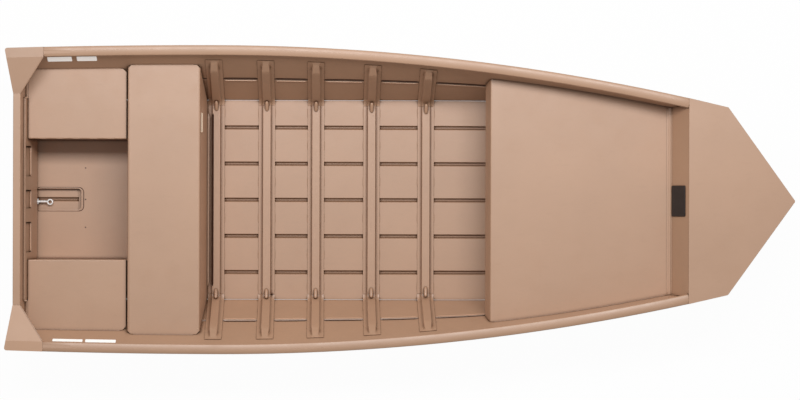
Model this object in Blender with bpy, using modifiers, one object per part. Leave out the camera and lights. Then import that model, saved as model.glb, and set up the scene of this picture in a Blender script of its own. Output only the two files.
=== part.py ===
"""A flat-bottomed aluminium jon boat with a modified-V bow, welded from formed sheet.

X runs from the stern to the bow, Y to port and Z up. The origin lies under the middle
of the overall length, on the plane that the bottom strakes rest on. Sizes are in metres.
"""

import math

import bmesh
import bpy
from mathutils import Matrix, Vector

# Overall form
LENGTH = 4.605
BEAM = 1.806
BOTTOM_WIDTH = 1.203
SIDE_HEIGHT = 0.518
BOW_HEIGHT = 0.580
STERN_X = -LENGTH / 2
TIP_X = LENGTH / 2
SHOULDER_SETBACK = 0.388
SHOULDER_X = TIP_X - SHOULDER_SETBACK
STEM_SETBACK = 0.030
CHINE_DROP = 0.014
GAP = 0.0003

# Plan and profile curves of the hull
WIDEST_FROM_STERN = 1.244
SHEER_RADIUS_AFT = 40.0
SHEER_RADIUS_FORWARD = 12.55
SHEER_RISE_FROM_TIP = 2.40
CHINE_BEND_FROM_TIP = 1.950
KEEL_BEND_FROM_TIP = 1.300

# Bottom sheet and its pressed strakes
BOTTOM_SHEET = 0.0030
STRAKE_DEPTH = 0.015
STRAKE_PITCH = BOTTOM_WIDTH * 2 / 11
STRAKE_CREST = 0.012
STRAKE_SLOPE = 0.009
STRAKE_END_FROM_TIP = 1.308
STRAKE_FADE = 0.25

# Side sheets and their pressed bead
SIDE_SHEET = 0.0025
BEAD_HEIGHT = 0.235
BEAD_WIDTH = 0.022
BEAD_DEPTH = 0.017
BEAD_RISE = 0.027
BEAD_RISE_FROM_STERN = 1.812
BEAD_END_FROM_TIP = 1.308
BEAD_FADE = 0.25
SIDE_END_X = SHOULDER_X - 0.035
SIDE_STEPS = 2
STATION_SPACING = 0.160

# Gunwale extrusion
GUNWALE_WIDTH = 0.058
GUNWALE_WALL = 0.003
GUNWALE_CROWN = 0.009
GUNWALE_SKIRT = 0.026
GUNWALE_INSET = 0.0315
LEG_DEPTH = 0.014
INNER_SKIRT = 0.020

# Transom
TRANSOM_X = STERN_X + 0.0863
TRANSOM_TOP = 0.488
TRANSOM_RAKE = 0.100
TRANSOM_THICKNESS = 0.038
TRANSOM_CAP_WALL = 0.0025
TRANSOM_CAP_DEPTH = 0.030
TRANSOM_CAP_INSET = 0.283
PAN_TOP = 0.400
PAN_FOOT = 0.075
PAN_INSET = 0.0045
PAN_DEPTH = 0.012
PAN_SHEET = 0.003
WINDOW_TOP = 0.385
WINDOW_FOOT = 0.235
WINDOW_RADIUS = 0.012
WINDOW_OUTER_EDGE = 0.315
WINDOW_INNER_EDGE = 0.135
CENTRE_WINDOW_HALF = 0.055

# Corner gussets
GUSSET_LENGTH = 0.139
GUSSET_SHEET = 0.004
GUSSET_SKIRT = 0.028

# Stern furniture
BOX_HEIGHT = 0.348
BOX_AFT_X = STERN_X + 0.1180
BOX_LENGTH = 0.5795
BOX_INNER_INSET = 0.546
BOX_CHAMFER = 0.022
BOX_FLANGE = 0.030
BOX_ROLL = 0.008
PANEL_SHEET = 0.0025
BENCH_GAP = 0.010
BENCH_HEIGHT = 0.384
BENCH_LENGTH = 0.427
BENCH_RADIUS = 0.012
BENCH_LIP = 0.030
BENCH_CHAMFER = 0.022
BENCH_FRONT_SLOPE = 0.029
SLOT_LENGTH = 0.110
SLOT_WIDTH = 0.022
SLOT_Y = 0.455
SLOT_Z = 0.315
WELL_FLOOR_INSET = 0.0465
WELL_FLOOR_SHEET = 0.003
SUMP_HALF_WIDTH = 0.066
SUMP_LENGTH = 0.274
SUMP_RADIUS = 0.024

# Hat-section ribs, at stations measured from the stern
OPEN_RIBS = (1.2155, 1.5201, 1.8170, 2.1525, 2.4805)
DECK_RIBS = (2.9120, 3.1720, 3.4320)
COVERED_RIBS = (0.4335, 0.8245)
RIB_CROWN = 0.045
RIB_FLANGE = 0.0225
RIB_HEIGHT = 0.027
RIB_SLOPE = 0.004
RIB_SHEET = 0.0025
RIB_BEND = 0.055
RIB_BEND_STEPS = 4
RIB_SIDE_STEPS = 5
RIB_FLOOR_STEPS = 6
RIB_BED = 0.08
RIB_TOP_Z = 0.430
RIB_TAB = 0.020
DECK_RIB_TOP_Z = 0.270

# Front deck, riser and bow cap
DECK_HEIGHT = 0.385
DECK_AFT_FROM_TIP = 1.7585
DECK_FRONT_FROM_TIP = 0.7165
DECK_SHEET = 0.003
DECK_LIP_DROP = 0.100
DECK_LIP_SLOPE = 0.022
DECK_LIP_RADIUS = 0.014
DECK_UPTURN = 0.010
DECK_UPTURN_RUN = 0.020
DECK_BEAMS = (3.267, 3.597)
DECK_BEAM_WIDTH = 0.050
DECK_BEAM_DEPTH = 0.040
DECK_BEAM_SHEET = 0.003
CAP_AFT_FROM_TIP = 0.6165
CAP_SHEET = 0.003
CAP_SKIRT = 0.026
PLATE_WIDTH = 0.180
PLATE_HEIGHT = 0.150
PLATE_THICKNESS = 0.005
PLATE_RADIUS = 0.008
PLATE_LIFT = 0.014

# Fittings
FIT = 0.0012
EYE_ROD = 0.0095
EYE_WIDTH = 0.050
EYE_REACH = 0.040
EYE_PLATE = 0.005
BOW_EYE_Z = 0.330
DRAIN_RADIUS = 0.0145
DRAIN_WALL = 0.003
DRAIN_FLANGE = 0.021
DRAIN_Y = -0.014
DRAIN_Z = 0.040
DRAIN_PROUD = 0.006
PLUG_REACH = 0.056
PLUG_COLLAR = 0.005
PLUG_KNOB = 0.006
PLUG_DEPTH = 0.020

# name: (colour, metallic, roughness)
FINISHES = {
    "tan_paint": ((0.478, 0.326, 0.235, 1.0), 0.0, 0.55),
    "black_plastic": ((0.020, 0.018, 0.018, 1.0), 0.0, 0.50),
    "bright_steel": ((0.62, 0.62, 0.62, 1.0), 1.0, 0.25),
}


def clear_scene():
    for obj in list(bpy.data.objects):
        bpy.data.objects.remove(obj, do_unlink=True)


def new_collection(name):
    collection = bpy.data.collections.new(name)
    bpy.context.scene.collection.children.link(collection)
    return collection


def new_material(name):
    colour, metallic, roughness = FINISHES[name]
    material = bpy.data.materials.new(name)
    material.use_nodes = True
    shader = material.node_tree.nodes["Principled BSDF"]
    shader.inputs["Base Color"].default_value = colour
    shader.inputs["Metallic"].default_value = metallic
    shader.inputs["Roughness"].default_value = roughness
    material.diffuse_color = colour
    return material


clear_scene()
BOAT = new_collection("jon_boat")
CUTTERS = new_collection("cutters")
MATERIALS = {name: new_material(name) for name in FINISHES}


def finish(obj, material, smooth_degrees=35.0):
    """Gives an object its material and smooth shading with sharp folds."""
    obj.data.materials.append(MATERIALS[material])
    if obj.type == "MESH":
        obj.data.shade_smooth()
        obj.data.set_sharp_from_angle(angle=math.radians(smooth_degrees))
    return obj


def mesh_object(name, bm, material, collection=None):
    mesh = bpy.data.meshes.new(name)
    bm.to_mesh(mesh)
    bm.free()
    obj = bpy.data.objects.new(name, mesh)
    (collection or BOAT).objects.link(obj)
    if material:
        finish(obj, material)
    else:
        obj.hide_render = True
        obj.display_type = "WIRE"
    return obj


def grid_surface(name, rows, material):
    """An open surface through rows of points, all rows with as many points."""
    bm = bmesh.new()
    grid = [[bm.verts.new(point) for point in row] for row in rows]
    for low, high in zip(grid, grid[1:]):
        for k in range(len(low) - 1):
            corners = [low[k], low[k + 1], high[k + 1], high[k]]
            bm.faces.new(corners)
    bmesh.ops.remove_doubles(bm, verts=bm.verts, dist=1e-5)
    return mesh_object(name, bm, material)


def swept_solid(name, sections, material, collection=None):
    """A closed solid through a run of closed sections, all with as many points."""
    bm = bmesh.new()
    rings = [[bm.verts.new(point) for point in section] for section in sections]
    for low, high in zip(rings, rings[1:]):
        count = len(low)
        for k in range(count):
            n = (k + 1) % count
            bm.faces.new([low[k], low[n], high[n], high[k]])
    bm.faces.new(list(reversed(rings[0])))
    bm.faces.new(rings[-1])
    bmesh.ops.triangulate(bm, faces=[f for f in bm.faces if len(f.verts) > 4])
    bmesh.ops.recalc_face_normals(bm, faces=bm.faces)
    return mesh_object(name, bm, material, collection)


def extruded(name, outline, direction, material, collection=None):
    """A closed solid from a flat outline of 3-D points, pushed along a direction."""
    bm = bmesh.new()
    face = bm.faces.new([bm.verts.new(point) for point in outline])
    made = bmesh.ops.extrude_face_region(bm, geom=[face])
    moved = [item for item in made["geom"] if isinstance(item, bmesh.types.BMVert)]
    bmesh.ops.translate(bm, verts=moved, vec=Vector(direction))
    bmesh.ops.recalc_face_normals(bm, faces=bm.faces)
    return mesh_object(name, bm, material, collection)


def solidify(obj, thickness, offset=-1.0):
    wall = obj.modifiers.new("sheet", "SOLIDIFY")
    wall.thickness = thickness
    wall.offset = offset
    wall.use_even_offset = True
    return obj


def mirror(obj):
    halves = obj.modifiers.new("halves", "MIRROR")
    halves.use_axis = (False, True, False)
    halves.merge_threshold = 0.0001
    return obj


def cut(obj, cutter):
    hole = obj.modifiers.new("cut " + cutter.name, "BOOLEAN")
    hole.operation = "DIFFERENCE"
    hole.object = cutter
    return obj


def bevel(obj, width, segments=2, degrees=40.0):
    edge = obj.modifiers.new("edges", "BEVEL")
    edge.width = width
    edge.segments = segments
    edge.limit_method = "ANGLE"
    edge.angle_limit = math.radians(degrees)
    return obj


def rounded(points, radius, steps=4):
    """A closed outline with each corner rounded to the radius."""
    result = []
    count = len(points)
    for k, corner in enumerate(points):
        here = Vector(corner)
        before = (Vector(points[k - 1]) - here).normalized()
        after = (Vector(points[(k + 1) % count]) - here).normalized()
        half = before.angle(after) / 2
        reach = radius / math.tan(half)
        centre = here + (before + after).normalized() * radius / math.sin(half)
        first = here + before * reach - centre
        last = here + after * reach - centre
        for s in range(steps + 1):
            result.append(tuple(centre + first.lerp(last, s / steps).normalized() * radius))
    return result


# Curves of the hull. Each function gives a size at a station x.

WIDEST_X = STERN_X + WIDEST_FROM_STERN
CAP_AFT_X = TIP_X - CAP_AFT_FROM_TIP
GUNWALE_AFT_X = TRANSOM_X + GUSSET_LENGTH
TRANSOM_CAP_HALF = BEAM / 2 - TRANSOM_CAP_INSET
BEAD_RISE_X = STERN_X + BEAD_RISE_FROM_STERN
BEAD_END_X = TIP_X - BEAD_END_FROM_TIP
STRAKE_FADE_END = TIP_X - STRAKE_END_FROM_TIP
CHINE_BEND_X = TIP_X - CHINE_BEND_FROM_TIP
KEEL_BEND_X = TIP_X - KEEL_BEND_FROM_TIP
STEM_X = TIP_X - STEM_SETBACK
BOTTOM_Z = STRAKE_DEPTH
HULL_TOP_Z = BOW_HEIGHT - CAP_SHEET - BOTTOM_SHEET - 2 * GAP
CLEAR = 2 * GAP


def fall_of_arc(distance, radius):
    return radius - math.sqrt(radius * radius - distance * distance)


def radius_of_arc(run, rise):
    """Radius of an arc that leaves a line at a tangent and reaches the rise after the run."""
    return (run * run + rise * rise) / (2 * rise)


def spread(start, end, count):
    return [start + (end - start) * k / (count - 1) for k in range(count)]


def sheer_y(x):
    """Half width to the outside of the gunwale."""
    radius = SHEER_RADIUS_AFT if x < WIDEST_X else SHEER_RADIUS_FORWARD
    return BEAM / 2 - fall_of_arc(x - WIDEST_X, radius)


def sheer_z(x):
    """Height of the gunwale's crown, level aft and rising to the bow."""
    share = (x - TIP_X + SHEER_RISE_FROM_TIP) / (SHEER_RISE_FROM_TIP - CAP_AFT_FROM_TIP)
    return SIDE_HEIGHT + (BOW_HEIGHT - SIDE_HEIGHT) * min(1.0, max(0.0, share)) ** 1.5


def side_top_y(x):
    """Half width to the outside of the side sheet at the crown's height."""
    return sheer_y(x) - GUNWALE_INSET


SHOULDER_Y = side_top_y(SHOULDER_X)
CHINE_RADIUS = radius_of_arc(SHOULDER_X - CHINE_BEND_X, HULL_TOP_Z - CHINE_DROP - BOTTOM_Z)
KEEL_RADIUS = radius_of_arc(STEM_X - KEEL_BEND_X, HULL_TOP_Z - BOTTOM_Z)


def chine_z(x):
    return BOTTOM_Z + fall_of_arc(max(0.0, min(x, SHOULDER_X) - CHINE_BEND_X), CHINE_RADIUS)


def keel_z(x):
    return BOTTOM_Z + fall_of_arc(max(0.0, min(x, STEM_X) - KEEL_BEND_X), KEEL_RADIUS)


def chine_y(x):
    """Half width of the bottom, straight aft and drawn in to the shoulder."""
    share = max(0.0, (x - CHINE_BEND_X) / (SHOULDER_X - CHINE_BEND_X))
    return BOTTOM_WIDTH / 2 - (BOTTOM_WIDTH / 2 - SHOULDER_Y) * share * share


def side_lean(x):
    """Outward lean of the side sheet, as a share of its rise."""
    return (side_top_y(x) - chine_y(x)) / (sheer_z(x) - chine_z(x))


def side_face_y(x, z):
    """Half width to the outer face of the side sheet."""
    foot = chine_y(x) + SIDE_SHEET + CLEAR
    share = (z - chine_z(x)) / (sheer_z(x) - chine_z(x))
    return foot + (side_top_y(x) - foot) * share


def side_inner_y(x, z):
    """Half width to the inner face of the side sheet."""
    return side_face_y(x, z) - SIDE_SHEET * math.hypot(1.0, side_lean(x))


def floor_z(x, y):
    """Height of the bottom's inner face between its strakes."""
    rise = chine_z(x) - keel_z(x)
    lift = BOTTOM_SHEET * math.hypot(1.0, rise / chine_y(x))
    return keel_z(x) + rise * abs(y) / chine_y(x) + lift


def transom_face_x(z):
    """Station of the transom's aft face, raked so that its foot lies forward."""
    return TRANSOM_X - TRANSOM_THICKNESS + (TRANSOM_TOP - z) * TRANSOM_RAKE


def transom_inner_x(z):
    return transom_face_x(z) + TRANSOM_THICKNESS


RIB_HALF = RIB_CROWN / 2 + RIB_SLOPE + RIB_FLANGE
OPEN_RIB_XS = [STERN_X + distance for distance in OPEN_RIBS]
DECK_RIB_XS = [STERN_X + distance for distance in DECK_RIBS]
COVERED_RIB_XS = [STERN_X + distance for distance in COVERED_RIBS]


def hull_stations(start, end):
    """Stations of the hull's plating in a range, with one at each edge of every rib."""
    edges = [x + side * RIB_HALF for x in OPEN_RIB_XS + DECK_RIB_XS for side in (-1, 1)]
    marks = edges + [STRAKE_FADE_END]
    inside = [x for x in sorted(marks) if start + 0.02 < x < end - 0.02]
    stations = [start]
    for x in inside + [end]:
        pieces = math.ceil((x - stations[-1]) / STATION_SPACING)
        stations += spread(stations[-1], x, pieces + 1)[1:]
    return stations


# Bottom sheet


def strake_columns():
    """Distances from the keel line with the share of the pressing there, as (y, share)."""
    half = STRAKE_CREST / 2
    columns = [(0.0, 1.0), (half, 1.0), (half + STRAKE_SLOPE, 0.0)]
    for number in (1, 2):
        middle = number * STRAKE_PITCH
        columns += [
            (middle - half - STRAKE_SLOPE, 0.0),
            (middle - half, 1.0),
            (middle + half, 1.0),
            (middle + half + STRAKE_SLOPE, 0.0),
        ]
    return columns + [(BOTTOM_WIDTH / 2, 0.0)]


def strake_depth(x):
    share = (STRAKE_FADE_END - x) / STRAKE_FADE
    return STRAKE_DEPTH * min(1.0, max(0.0, share))


def bottom_row(x):
    if x <= SHOULDER_X:
        edge_y = chine_y(x)
        edge_z = chine_z(x)
    else:
        share = (x - SHOULDER_X) / (STEM_X - SHOULDER_X)
        edge_y = SHOULDER_Y * (1 - share)
        edge_z = chine_z(SHOULDER_X) + CHINE_DROP * share
    keel = keel_z(x)
    depth = strake_depth(x)
    row = []
    for y, pressed in strake_columns():
        u = y / (BOTTOM_WIDTH / 2)
        row.append((x, u * edge_y, keel + (edge_z - keel) * u - depth * pressed))
    return row


def make_bottom():
    stations = hull_stations(transom_face_x(BOTTOM_Z), SHOULDER_X)
    stations += spread(SHOULDER_X, STEM_X, 5)[1:]
    sheet = grid_surface("hull_bottom", [bottom_row(x) for x in stations], "tan_paint")
    mirror(sheet)
    solidify(sheet, BOTTOM_SHEET)


# Side sheets


def side_top_z(x):
    return sheer_z(x) - GUNWALE_CROWN / 2 - GUNWALE_WALL - SIDE_SHEET


def side_profile(x):
    """Heights up the side sheet with the depth of the pressed bead there, as (z, depth)."""
    low = chine_z(x)
    top = side_top_z(x)
    middle = BEAD_HEIGHT + BEAD_RISE * max(0.0, x - BEAD_RISE_X)
    half = BEAD_WIDTH / 2
    marks = [middle - half, middle - half / 2, middle + half / 2, middle + half]
    share = min(1.0, max(0.0, (BEAD_END_X - x) / BEAD_FADE))
    if low > marks[0] - BEAD_WIDTH:
        marks = spread(low + 0.2 * (top - low), low + 0.8 * (top - low), 4)
    depths = [0.0, BEAD_DEPTH * share, BEAD_DEPTH * share, 0.0]
    below = [(z, 0.0) for z in spread(low, marks[0], SIDE_STEPS + 1)[:-1]]
    above = [(z, 0.0) for z in spread(marks[3], top, SIDE_STEPS + 1)[1:]]
    return below + list(zip(marks, depths)) + above


def make_side(name, side):
    rows = []
    for x in hull_stations(STERN_X + 0.12, SIDE_END_X):
        rows.append([(x, side * (side_face_y(x, z) + depth), z) for z, depth in side_profile(x)])
    first = []
    for z, depth in side_profile(STERN_X + 0.12):
        x = transom_face_x(z)
        first.append((x, side * (side_face_y(x, z) + depth), z))
    sheet = grid_surface(name, [first] + rows, "tan_paint")
    solidify(sheet, SIDE_SHEET, offset=-side)


# Gunwales


def gunwale_section(x, side):
    """One cross-section of the gunwale, a crowned channel whose two legs grip the side sheet."""
    outer = sheer_y(x)
    top = sheer_z(x)
    wide = GUNWALE_WIDTH
    wall = GUNWALE_WALL
    crown = GUNWALE_CROWN
    under = -crown / 2 - wall
    root = under + 0.2 * wall
    sheet_out = outer - side_face_y(x, top + under) - CLEAR
    sheet_in = outer - side_inner_y(x, top + under) + CLEAR
    drift = side_lean(x) * LEG_DEPTH
    # Each point is a distance in from the outer edge and a height above the crown
    points = [
        (0.0, -GUNWALE_SKIRT),
        (0.0, -crown),
        (0.25 * crown, -0.5 * crown),
        (0.20 * wide, -0.12 * crown),
        (0.42 * wide, 0.0),
        (0.70 * wide, -0.15 * crown),
        (wide - 0.4 * crown, -0.55 * crown),
        (wide, -crown),
        (wide, -INNER_SKIRT),
        (wide - wall, -INNER_SKIRT),
        (wide - wall, under - wall),
        (sheet_in + wall, root),
        (sheet_in + wall + drift, under - LEG_DEPTH),
        (sheet_in + drift, under - LEG_DEPTH),
        (sheet_in, under),
        (sheet_out, under),
        (sheet_out + drift, under - LEG_DEPTH),
        (sheet_out - wall + drift, under - LEG_DEPTH),
        (sheet_out - wall, root),
        (wall, under - wall),
        (wall, -GUNWALE_SKIRT),
    ]
    return [(x, side * (outer - a), top + b) for a, b in points]


def make_gunwale(name, side):
    stations = hull_stations(GUNWALE_AFT_X + GAP, CAP_AFT_X - GAP)
    swept_solid(name, [gunwale_section(x, side) for x in stations], "tan_paint")


# Transom


def transom_foot():
    """The transom's lower edge from the keel line out, which fills the strakes."""
    half = STRAKE_CREST / 2
    corner = math.atan2(STRAKE_DEPTH, STRAKE_SLOPE) / 2
    shrink = BOTTOM_SHEET * math.tan(corner)
    low = BOTTOM_Z - STRAKE_DEPTH + BOTTOM_SHEET + CLEAR
    high = BOTTOM_Z + BOTTOM_SHEET + CLEAR
    points = [(half - shrink, low), (half + STRAKE_SLOPE - shrink - CLEAR, high)]
    for number in (1, 2):
        middle = number * STRAKE_PITCH
        for side in (-1, 1):
            tooth = [(middle + side * (half - shrink), low)]
            tooth.append((middle + side * (half + STRAKE_SLOPE - shrink - CLEAR), high))
            points += reversed(tooth) if side < 0 else tooth
    return points


def both_sides(points):
    """A closed outline from its port half, listed from the middle outwards."""
    return [(y, z) for y, z in points] + [(-y, z) for y, z in reversed(points)]


def make_transom():
    high = TRANSOM_TOP - TRANSOM_CAP_WALL - GAP
    corners = []
    for z in (BOTTOM_Z + BOTTOM_SHEET + CLEAR, high):
        corners.append((side_inner_y(STERN_X + 0.05, z) - FIT, z))
    outline = both_sides(transom_foot() + corners)
    board = extruded(
        "transom",
        [(transom_face_x(z), y, z) for y, z in outline],
        (TRANSOM_THICKNESS, 0, 0),
        "tan_paint",
    )
    radius = DRAIN_RADIUS + DRAIN_WALL + CLEAR
    bore = [(0.0, 0.1), (radius, 0.1), (radius, -0.1), (0.0, -0.1)]
    cut(board, turned("drain hole", bore, None, CUTTERS))


def drain_frame():
    """The drain's mouth on the transom's aft face, with X along its axis into the boat."""
    square = Matrix.Rotation(-math.atan(TRANSOM_RAKE), 4, "Y")
    return Matrix.Translation((transom_face_x(DRAIN_Z), DRAIN_Y, DRAIN_Z)) @ square


def make_transom_cap():
    """The folded channel over the transom's top edge, between the corner gussets."""
    wall = TRANSOM_CAP_WALL
    aft = transom_face_x(TRANSOM_TOP) - wall - GAP
    fore = transom_inner_x(TRANSOM_TOP) + wall + GAP
    low = TRANSOM_TOP - TRANSOM_CAP_DEPTH
    lean = TRANSOM_CAP_DEPTH * TRANSOM_RAKE
    high = TRANSOM_TOP
    section = [
        (aft + lean, low),
        (aft, high - 0.003),
        (aft + 0.003, high),
        (fore - 0.003, high),
        (fore, high - 0.003),
        (fore + lean, low),
        (fore + lean - wall, low),
        (fore - wall, high - wall),
        (aft + wall, high - wall),
        (aft + wall + lean, low),
    ]
    reach = TRANSOM_CAP_HALF - GAP
    sections = [[(x, y, z) for x, z in section] for y in (-reach, reach)]
    swept_solid("transom_cap", sections, "tan_paint")


def make_transom_pan():
    """The inner stiffener: a shallow pan with three windows, welded to the transom."""
    face = PAN_DEPTH
    half_width = BOTTOM_WIDTH / 2 - PAN_INSET
    outline = both_sides([(half_width, PAN_FOOT), (half_width, PAN_TOP)])
    place = [(transom_inner_x(z) + GAP, y, z) for y, z in outline]
    pan = extruded("transom_pan", place, (face, 0, 0), "tan_paint")
    hollow = both_sides([
        (half_width - PAN_SHEET, PAN_FOOT + PAN_SHEET),
        (half_width - PAN_SHEET, PAN_TOP - PAN_SHEET),
    ])
    inside = [(transom_inner_x(z) - 0.02, y, z) for y, z in hollow]
    reach = 0.02 + GAP + face - PAN_SHEET
    cut(pan, extruded("pan hollow", inside, (reach, 0, 0), None, CUTTERS))
    middle = (WINDOW_OUTER_EDGE + WINDOW_INNER_EDGE) / 2
    half = (WINDOW_OUTER_EDGE - WINDOW_INNER_EDGE) / 2
    windows = ((-middle, half), (0.0, CENTRE_WINDOW_HALF), (middle, half))
    for number, (centre, reach_y) in enumerate(windows):
        corners = [
            (centre - reach_y, WINDOW_FOOT),
            (centre + reach_y, WINDOW_FOOT),
            (centre + reach_y, WINDOW_TOP),
            (centre - reach_y, WINDOW_TOP),
        ]
        outline = [(TRANSOM_X - 0.05, y, z) for y, z in rounded(corners, WINDOW_RADIUS, 2)]
        cut(pan, extruded(f"pan window {number}", outline, (0.2, 0, 0), None, CUTTERS))


def inset_outline(outline, distance, open_edges):
    """An outline moved inwards by a distance, apart from its open edges, which move out."""
    lines = []
    area = sum(a[0] * b[1] - b[0] * a[1] for a, b in zip(outline, outline[1:] + outline[:1]))
    turn = 1.0 if area > 0 else -1.0
    for number, (a, b) in enumerate(zip(outline, outline[1:] + outline[:1])):
        along = (Vector(b) - Vector(a)).normalized()
        inward = Vector((-along.y, along.x)) * turn
        move = -0.02 if number in open_edges else distance
        lines.append((Vector(a) + inward * move, along))
    result = []
    for (p, u), (q, v) in zip(lines[-1:] + lines[:-1], lines):
        cross = u.x * v.y - u.y * v.x
        if abs(cross) < 1e-6:
            result.append(tuple(q))
            continue
        w = q - p
        result.append(tuple(p + u * (w.x * v.y - w.y * v.x) / cross))
    return result


def folded_inboard(obj, hinge, along, slope):
    """Folds an upright solid's inboard part downwards along a line, by a drop per distance."""
    inboard = Vector((along.y, -along.x, 0.0)).normalized()
    if inboard.y * hinge.y > 0:
        inboard = -inboard
    bm = bmesh.new()
    bm.from_mesh(obj.data)
    everything = bm.verts[:] + bm.edges[:] + bm.faces[:]
    bmesh.ops.bisect_plane(bm, geom=everything, dist=1e-6, plane_co=hinge, plane_no=inboard)
    for vert in bm.verts:
        vert.co.z -= slope * max(0.0, (vert.co - hinge).dot(inboard))
    bm.to_mesh(obj.data)
    bm.free()
    return obj


def make_gusset(name, side):
    """The corner plate, level over the gunwale's end and sloping down to the transom's cap."""
    fore_x = GUNWALE_AFT_X - GAP
    aft_x = transom_face_x(TRANSOM_TOP) - TRANSOM_CAP_WALL - GAP
    inner_x = transom_inner_x(TRANSOM_TOP) + TRANSOM_CAP_WALL + GAP
    corner = sheer_y(STERN_X)
    outline = [
        (fore_x, sheer_y(fore_x)),
        (fore_x, sheer_y(fore_x) - GUNWALE_WIDTH),
        (inner_x, TRANSOM_CAP_HALF),
        (aft_x, TRANSOM_CAP_HALF),
        (STERN_X, corner - 0.012),
        (STERN_X + 0.004, corner - 0.004),
        (STERN_X + 0.012, corner),
    ]
    outline = [(x, side * y) for x, y in outline]
    top = sheer_z(STERN_X)
    low = top - GUSSET_SKIRT
    body = extruded(name, [(x, y, low) for x, y in outline], (0, 0, GUSSET_SKIRT), "tan_paint")
    under = [(x, y, low - 0.05) for x, y in inset_outline(outline, GUSSET_SHEET, (0, 2))]
    deep = GUSSET_SKIRT + 0.05 - GUSSET_SHEET
    hollow = extruded(name + " hollow", under, (0, 0, deep), None, CUTTERS)
    hinge = Vector((fore_x, side * (sheer_y(fore_x) - GUNWALE_WIDTH), 0.0))
    along = Vector((STERN_X, side * (corner - GUNWALE_WIDTH), 0.0)) - hinge
    run = abs(hinge.y) - TRANSOM_CAP_HALF - abs(along.y / along.x) * (fore_x - inner_x)
    for solid in (body, hollow):
        folded_inboard(solid, hinge, along, (top - TRANSOM_TOP) / run)
    cut(body, hollow)
    clear_side_and_transom(body, name, side, top)


def clear_side_and_transom(body, name, side, top):
    """Room in the gusset's skirts for the side sheet, all outboard of it, and the transom."""
    low = TRANSOM_TOP - GUSSET_SKIRT - 0.02
    high = top - GUSSET_SHEET - GAP
    run = (transom_face_x(low) - 0.01, GUNWALE_AFT_X + 0.02)
    corners = []
    for x in run:
        outboard = side * (sheer_y(x) - 2 * GUSSET_SHEET)
        corners.append([
            (x, side * (side_inner_y(x, low) - CLEAR), low),
            (x, outboard, low),
            (x, outboard, high),
            (x, side * (side_inner_y(x, high) - CLEAR), high),
        ])
    cut(body, swept_solid(name + " side slot", corners, None, CUTTERS))
    high = TRANSOM_TOP - TRANSOM_CAP_WALL
    board = [
        (transom_face_x(low) - CLEAR, low),
        (transom_inner_x(low) + CLEAR, low),
        (transom_inner_x(high) + CLEAR, high),
        (transom_face_x(high) - CLEAR, high),
    ]
    near = side * (TRANSOM_CAP_HALF - 0.02)
    reach = side * (side_inner_y(STERN_X, high) - TRANSOM_CAP_HALF)
    outline = [(x, near, z) for x, z in board]
    cut(body, extruded(name + " board slot", outline, (0, reach, 0), None, CUTTERS))


# Ribs


def rib_bed(x):
    """Clearance under a rib, wider where the sheet that it lies on is twisted."""
    twist = 0.0
    for edge_z in (chine_z, keel_z):
        twist = abs(edge_z(x + RIB_HALF) - edge_z(x - RIB_HALF) - twist)
    return CLEAR + RIB_BED * twist


def girth_path(x, top_z, bed):
    """The hull's inner face at a station, as a run over the floor and a run up the side.

    Each step is (y, z, inward y, inward z). The side's run begins with an arc at the chine.
    """
    slope = (floor_z(x, chine_y(x)) - floor_z(x, 0.0)) / chine_y(x)
    floor_turn = math.atan(slope)
    side_turn = math.atan2(1.0, side_lean(x))
    corner_y = side_inner_y(x, chine_z(x) + BOTTOM_SHEET) - bed
    corner_z = floor_z(x, corner_y) + bed
    reach = RIB_BEND * math.tan((side_turn - floor_turn) / 2)
    start = Vector((corner_y - reach * math.cos(floor_turn), corner_z - reach * math.sin(floor_turn)))
    inward = (-math.sin(floor_turn), math.cos(floor_turn))
    floor = [(y, floor_z(x, y) + bed, *inward) for y in spread(0.0, start.x, RIB_FLOOR_STEPS + 1)]
    centre = start + RIB_BEND * Vector(inward)
    side = []
    for turn in spread(floor_turn, side_turn, RIB_BEND_STEPS + 1):
        inward = Vector((-math.sin(turn), math.cos(turn)))
        point = centre - RIB_BEND * inward
        side.append((point.x, point.y, inward.x, inward.y))
    last = side.pop()
    crown_end = top_z - RIB_TAB
    heights = spread(last[1], crown_end - RIB_HEIGHT / 2, RIB_SIDE_STEPS + 1)
    for z in heights + [crown_end, top_z]:
        side.append((side_inner_y(x, z) - CLEAR - bed, z, inward.x, inward.y))
    return floor, side


def hat_section(x, low, high, height, side):
    """The closed outline of the folded hat between like steps of its two edges' paths."""
    crown = RIB_CROWN / 2
    wall = RIB_SHEET
    inner = max(0.0, height - wall)
    # Each point is a distance along the boat and a height off the hull
    points = [
        (-RIB_HALF, 0.0),
        (-RIB_HALF, wall),
        (-crown - RIB_SLOPE, wall),
        (-crown, height),
        (crown, height),
        (crown + RIB_SLOPE, wall),
        (RIB_HALF, wall),
        (RIB_HALF, 0.0),
        (crown + RIB_SLOPE - wall, 0.0),
        (crown - wall, inner),
        (-crown + wall, inner),
        (-crown - RIB_SLOPE + wall, 0.0),
    ]
    result = []
    for s, h in points:
        share = (s + RIB_HALF) / (2 * RIB_HALF)
        y, z, ny, nz = (a + (b - a) * share for a, b in zip(low, high))
        result.append((x + s, side * (y + h * ny), z + h * nz))
    return result


def rib_runs(x, top_z):
    """Pairs of like steps at the rib's aft and forward edges, over the floor and up the side."""
    bed = rib_bed(x)
    aft = girth_path(x - RIB_HALF, top_z, bed)
    fore = girth_path(x + RIB_HALF, top_z, bed)
    return [list(zip(low, high)) for low, high in zip(aft, fore)]


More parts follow.
